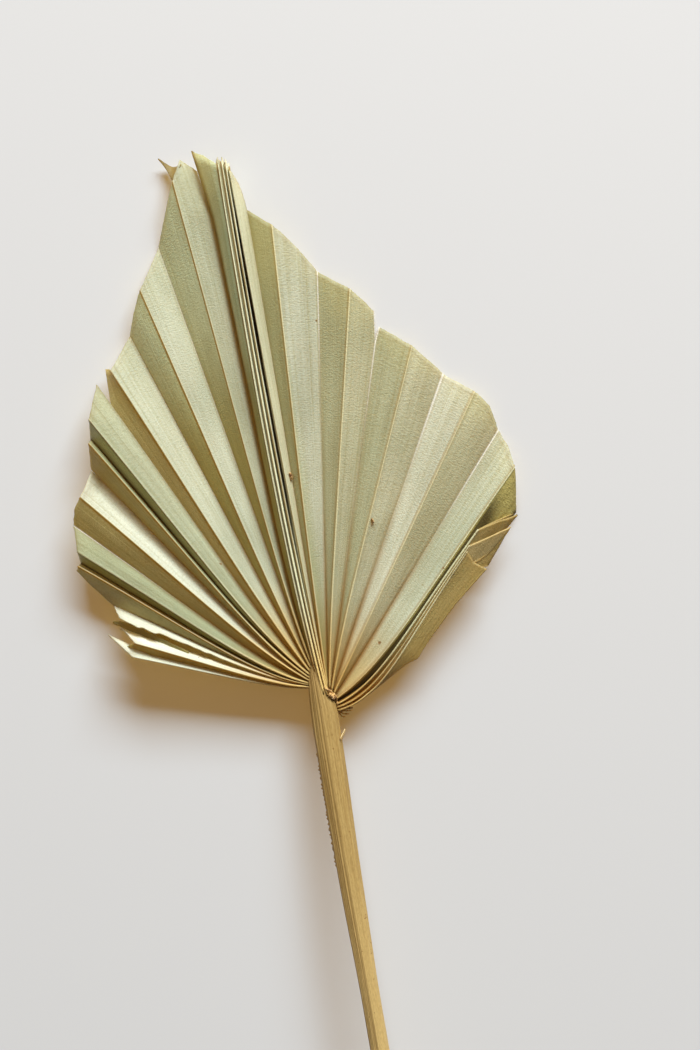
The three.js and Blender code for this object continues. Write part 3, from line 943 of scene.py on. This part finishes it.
def blade_finish(name, light_through, through_share):
    """Dried leaf: the panels' colours with veins and fibres along them, wrinkles across them and patches of
    painted sheen, and with lines along the folds that are partly painted shade and highlight. Part of the
    light comes through in a colour of its own."""
    material, node = node_maker(name)
    leaf = leaf_readings(node)
    colour = panel_colour(node, leaf)
    grain = {}
    for key, (scales, detail, rough, strength, stops) in GRAIN_AND_SHEEN.items():
        grain[key] = noise(node, along_panel(node, leaf, *scales), 1.0, detail, rough)
        colour = mixed(node, strength, colour, ramp(node, grain[key], *stops), "MULTIPLY")
    colour = marked(node, leaf, colour, MARKS)
    height = maths(node, "ADD", times(node, grain["fibres"], 0.5), times(node, grain["veins"], 0.5))
    bump = bumped(node, maths(node, "ADD", height, grain["wrinkles"]), LEAF_BUMP)
    skin = node("ShaderNodeBsdfPrincipled", inputs={"Base Color": colour, "Roughness": LEAF_ROUGHNESS,
                                                    "Normal": bump, "Specular IOR Level": LEAF_SPECULAR})
    through = node("ShaderNodeBsdfTranslucent", inputs={"Color": (*light_through, 1), "Normal": bump})
    both = node("ShaderNodeMixShader", inputs={0: through_share, 1: skin.outputs[0], 2: through.outputs[0]})
    node("ShaderNodeOutputMaterial", inputs={0: both.outputs[0]})
    return material


# The stalk's colours
STALK_GOLD = (0.35, 0.205, 0.055)
STALK_PALE = (0.47, 0.305, 0.105)
STALK_DARK = (0.27, 0.14, 0.034)
STALK_STRAW = (0.72, 0.49, 0.19)
GROOVE_SHADE_BROWN = (0.29, 0.15, 0.036)
PITH_PALE = (0.62, 0.48, 0.26)
PITH_DARK = (0.40, 0.26, 0.11)
STALK_BUMP, STALK_ROUGHNESS, STALK_SPECULAR = 0.4, 0.5, 0.4
# Its patterns: scale round it and along it, detail and roughness
STALK_FIBRES = (13.0, 0.09, 4.0, 0.65)
STALK_DASHES = (16.0, 0.9, 2.0, 0.6)
STALK_BROAD = (1.6, 0.03, 2.0, 0.55)
DASH_STOPS = [(0.36, (0.80, 0.76, 0.68)), (0.52, WHITE), (0.66, (1.12, 1.12, 1.12))]
DASH_STRENGTH = 0.7
SPECK_SCALE, PITH_SCALE = 900.0, 2200.0
# The marks on it, as on the blade, before and after the dashes. The straw-coloured lower part goes by y, and
# the darker left edge, which is painted shade on the side away from the light, by the share of a turn
STALK_MARKS = [
    (STALK_PALE, "MIX", 0.35, ("broad", 0.65, 0.4)),
    (STALK_STRAW, "MIX", 0.6, ("place", -45.0, 30.0)),
    (STALK_DARK, "MIX", 0.7, ("off_left", 0.01, 0.11)),
]
LATER_STALK_MARKS = [
    # painted shade in the grooves
    (GROOVE_SHADE_BROWN, "MIX", 0.8, "groove"),
    (STALK_DARK, "MIX", 1.0, ("specks", 0.76, 0.72)),
]


def stalk_finish():
    """Golden straw with lengthways fibres, paler streaks, painted shade in the grooves and on the left edge,
    brown specks and a pale pithy cut end.
    """
    material, node = node_maker("dried_stalk")
    stem = SimpleNamespace()
    lap, stem.place, mark = split_attribute(node, "stalk_grain")
    place = node("ShaderNodeTexCoord").outputs["Object"]
    ring = times(node, lap, 2 * math.pi)

    def pattern(round_scale, along_scale, detail, rough):
        x = times(node, maths(node, "COSINE", ring), round_scale)
        y = times(node, maths(node, "SINE", ring), round_scale)
        return noise(node, vector_of(node, x, y, times(node, stem.place, along_scale)), 1.0, detail, rough)

    stem.groove = times(node, mark, -1.0, True)
    stem.off_left = maths(node, "ABSOLUTE", maths(node, "SUBTRACT", lap, 0.5))
    stem.broad = pattern(*STALK_BROAD)
    stem.specks = noise(node, place, SPECK_SCALE, 1.0)
    fibres = pattern(*STALK_FIBRES)
    colour = ramp(node, fibres, (0.3, STALK_DARK), (0.46, STALK_GOLD), (0.7, STALK_PALE))
    colour = marked(node, stem, colour, STALK_MARKS)
    dashes = ramp(node, pattern(*STALK_DASHES), *DASH_STOPS)
    colour = mixed(node, DASH_STRENGTH, colour, dashes, "MULTIPLY")
    colour = marked(node, stem, colour, LATER_STALK_MARKS)
    pith = tinted(node, noise(node, place, PITH_SCALE), (*PITH_PALE, 1), PITH_DARK)
    colour = mixed(node, maths(node, "MAXIMUM", mark, 0.0), colour, pith)
    bump = bumped(node, fibres, STALK_BUMP)
    straw = node("ShaderNodeBsdfPrincipled", inputs={"Base Color": colour, "Roughness": STALK_ROUGHNESS,
                                                     "Normal": bump, "Specular IOR Level": STALK_SPECULAR})
    node("ShaderNodeOutputMaterial", inputs={0: straw.outputs[0]})
    return material


# The crust's colours and finish
CRUST_DARK = (0.30, 0.14, 0.04)
CRUST_ORANGE = (0.74, 0.44, 0.15)
CRUST_SCALE, CRUST_ROUGHNESS = 900.0, 0.6


def crust_finish():
    """Dark brown crust with orange patches."""
    material, node = node_maker("hub_crust")
    place = node("ShaderNodeTexCoord").outputs["Object"]
    colour = ramp(node, noise(node, place, CRUST_SCALE), (0.42, CRUST_DARK), (0.60, CRUST_ORANGE))
    skin = node("ShaderNodeBsdfPrincipled", inputs={"Base Color": colour, "Roughness": CRUST_ROUGHNESS})
    node("ShaderNodeOutputMaterial", inputs={0: skin.outputs[0]})
    return material


# The surface under the leaf, and the dim surround
SURFACE_HALF = 2000.0
SURFACE_COLOUR, SURFACE_ROUGHNESS = (0.50, 0.57, 0.63), 0.7
SURROUND_COLOUR, SURROUND_STRENGTH = (1.0, 0.95, 0.88), 0.075
# Lamps: bearing from the picture's upright and rise in degrees, distance and size in metres, watts, and
# colour
LAMPS = {
    "window": (13.0, 27.5, 3.9, (3.45, 1.35), 382.0, (0.867, 0.94, 0.99)),
    "room_glow": (12.0, 60.0, 2.2, (2.0, 1.6), 33.0, (1.0, 0.475, 0.09)),
    "leaf_fill": (-48.0, 38.0, 2.0, (1.2, 1.2), 12.0, (1.0, 0.96, 0.84)),
}
# The y that the lamps are aimed at, in metres
AIM_Y = 0.1


def set_camera():
    """The camera looks straight down and is turned so that the leaf leans as in the picture."""
    data = bpy.data.cameras.new("camera")
    data.sensor_width = SENSOR
    data.lens = SENSOR * CAMERA_HEIGHT / VIEW_LENGTH
    camera = bpy.data.objects.new("camera", data)
    camera.location = (VIEW_CENTRE[0] * MM, VIEW_CENTRE[1] * MM, CAMERA_HEIGHT * MM)
    camera.rotation_euler = (0, 0, -math.radians(LEAN))
    bpy.context.collection.objects.link(camera)
    bpy.context.scene.camera = camera


def set_floor():
    """A large pale surface just under the leaf."""
    side = SURFACE_HALF
    points = np.array([(-side, -side, 0), (side, -side, 0), (side, side, 0), (-side, side, 0)], float)
    material, node = node_maker("pale_surface")
    paint = node("ShaderNodeBsdfPrincipled", inputs={"Base Color": (*SURFACE_COLOUR, 1),
                                                     "Roughness": SURFACE_ROUGHNESS})
    node("ShaderNodeOutputMaterial", inputs={0: paint.outputs[0]})
    floor = add_mesh("surface", points, [np.array([[0, 1, 2, 3]])], [material], flat=True)
    return floor


def area_light(name):
    """One of the lamps, a rectangle aimed at the middle of the leaf."""
    bearing, rise, distance, size, energy, colour = LAMPS[name]
    turn, lift = math.radians(bearing + LEAN), math.radians(rise)
    data = bpy.data.lights.new(name, "AREA")
    data.shape = "RECTANGLE"
    data.size, data.size_y = size
    data.energy = energy
    data.color = colour
    lamp = bpy.data.objects.new(name, data)
    flat = distance * math.cos(lift)
    lamp.location = (flat * math.sin(turn), AIM_Y + flat * math.cos(turn), distance * math.sin(lift))
    lamp.rotation_euler = (math.pi / 2 - lift, 0, math.pi - turn)
    bpy.context.collection.objects.link(lamp)
    return lamp


def light_only(lamp, lit):
    """Makes a lamp light only the given objects."""
    only = bpy.data.collections.new(lamp.name + "_lit")
    for piece in lit:
        only.objects.link(piece)
    lamp.light_linking.receiver_collection = only
    return only


def set_lights(floor):
    """A cool window beyond the leaf's tip, a dim pale surround, and a warm glow that only warms the
    surface, so that the leaf's shadow on it is brown."""
    area_light("window")
    glow = area_light("room_glow")
    only = light_only(glow, [floor])
    glow.light_linking.blocker_collection = only
    world = bpy.data.worlds.new("surround")
    world.use_nodes = True
    sky = world.node_tree.nodes["Background"].inputs
    sky[0].default_value = (*SURROUND_COLOUR, 1)
    sky[1].default_value = SURROUND_STRENGTH
    bpy.context.scene.world = world
    bpy.context.scene.view_settings.view_transform = "Standard"


set_camera()
set_lights(set_floor())

# In the order of their numbers
BLADE_FINISHES = [blade_finish(name, *light) for name, light in BLADE_LIGHTS.items()]
leaf_pieces = []
grown = ((blade(), "leaf_blade", "dried_blade"), (stalk(), "leaf_stalk", "dried_stalk"))
for piece, cad_node, slot in grown:
    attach(piece, "root")
    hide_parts(cad_node)
    leaf_pieces.append(piece)
for pieces, slot in ((strips(), "dried_blade"), (crust(), "dried_stalk")):
    for piece in pieces:
        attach(piece, "root")
        leaf_pieces.append(piece)
# A soft fill that lights nothing but the leaf
light_only(area_light("leaf_fill"), leaf_pieces)
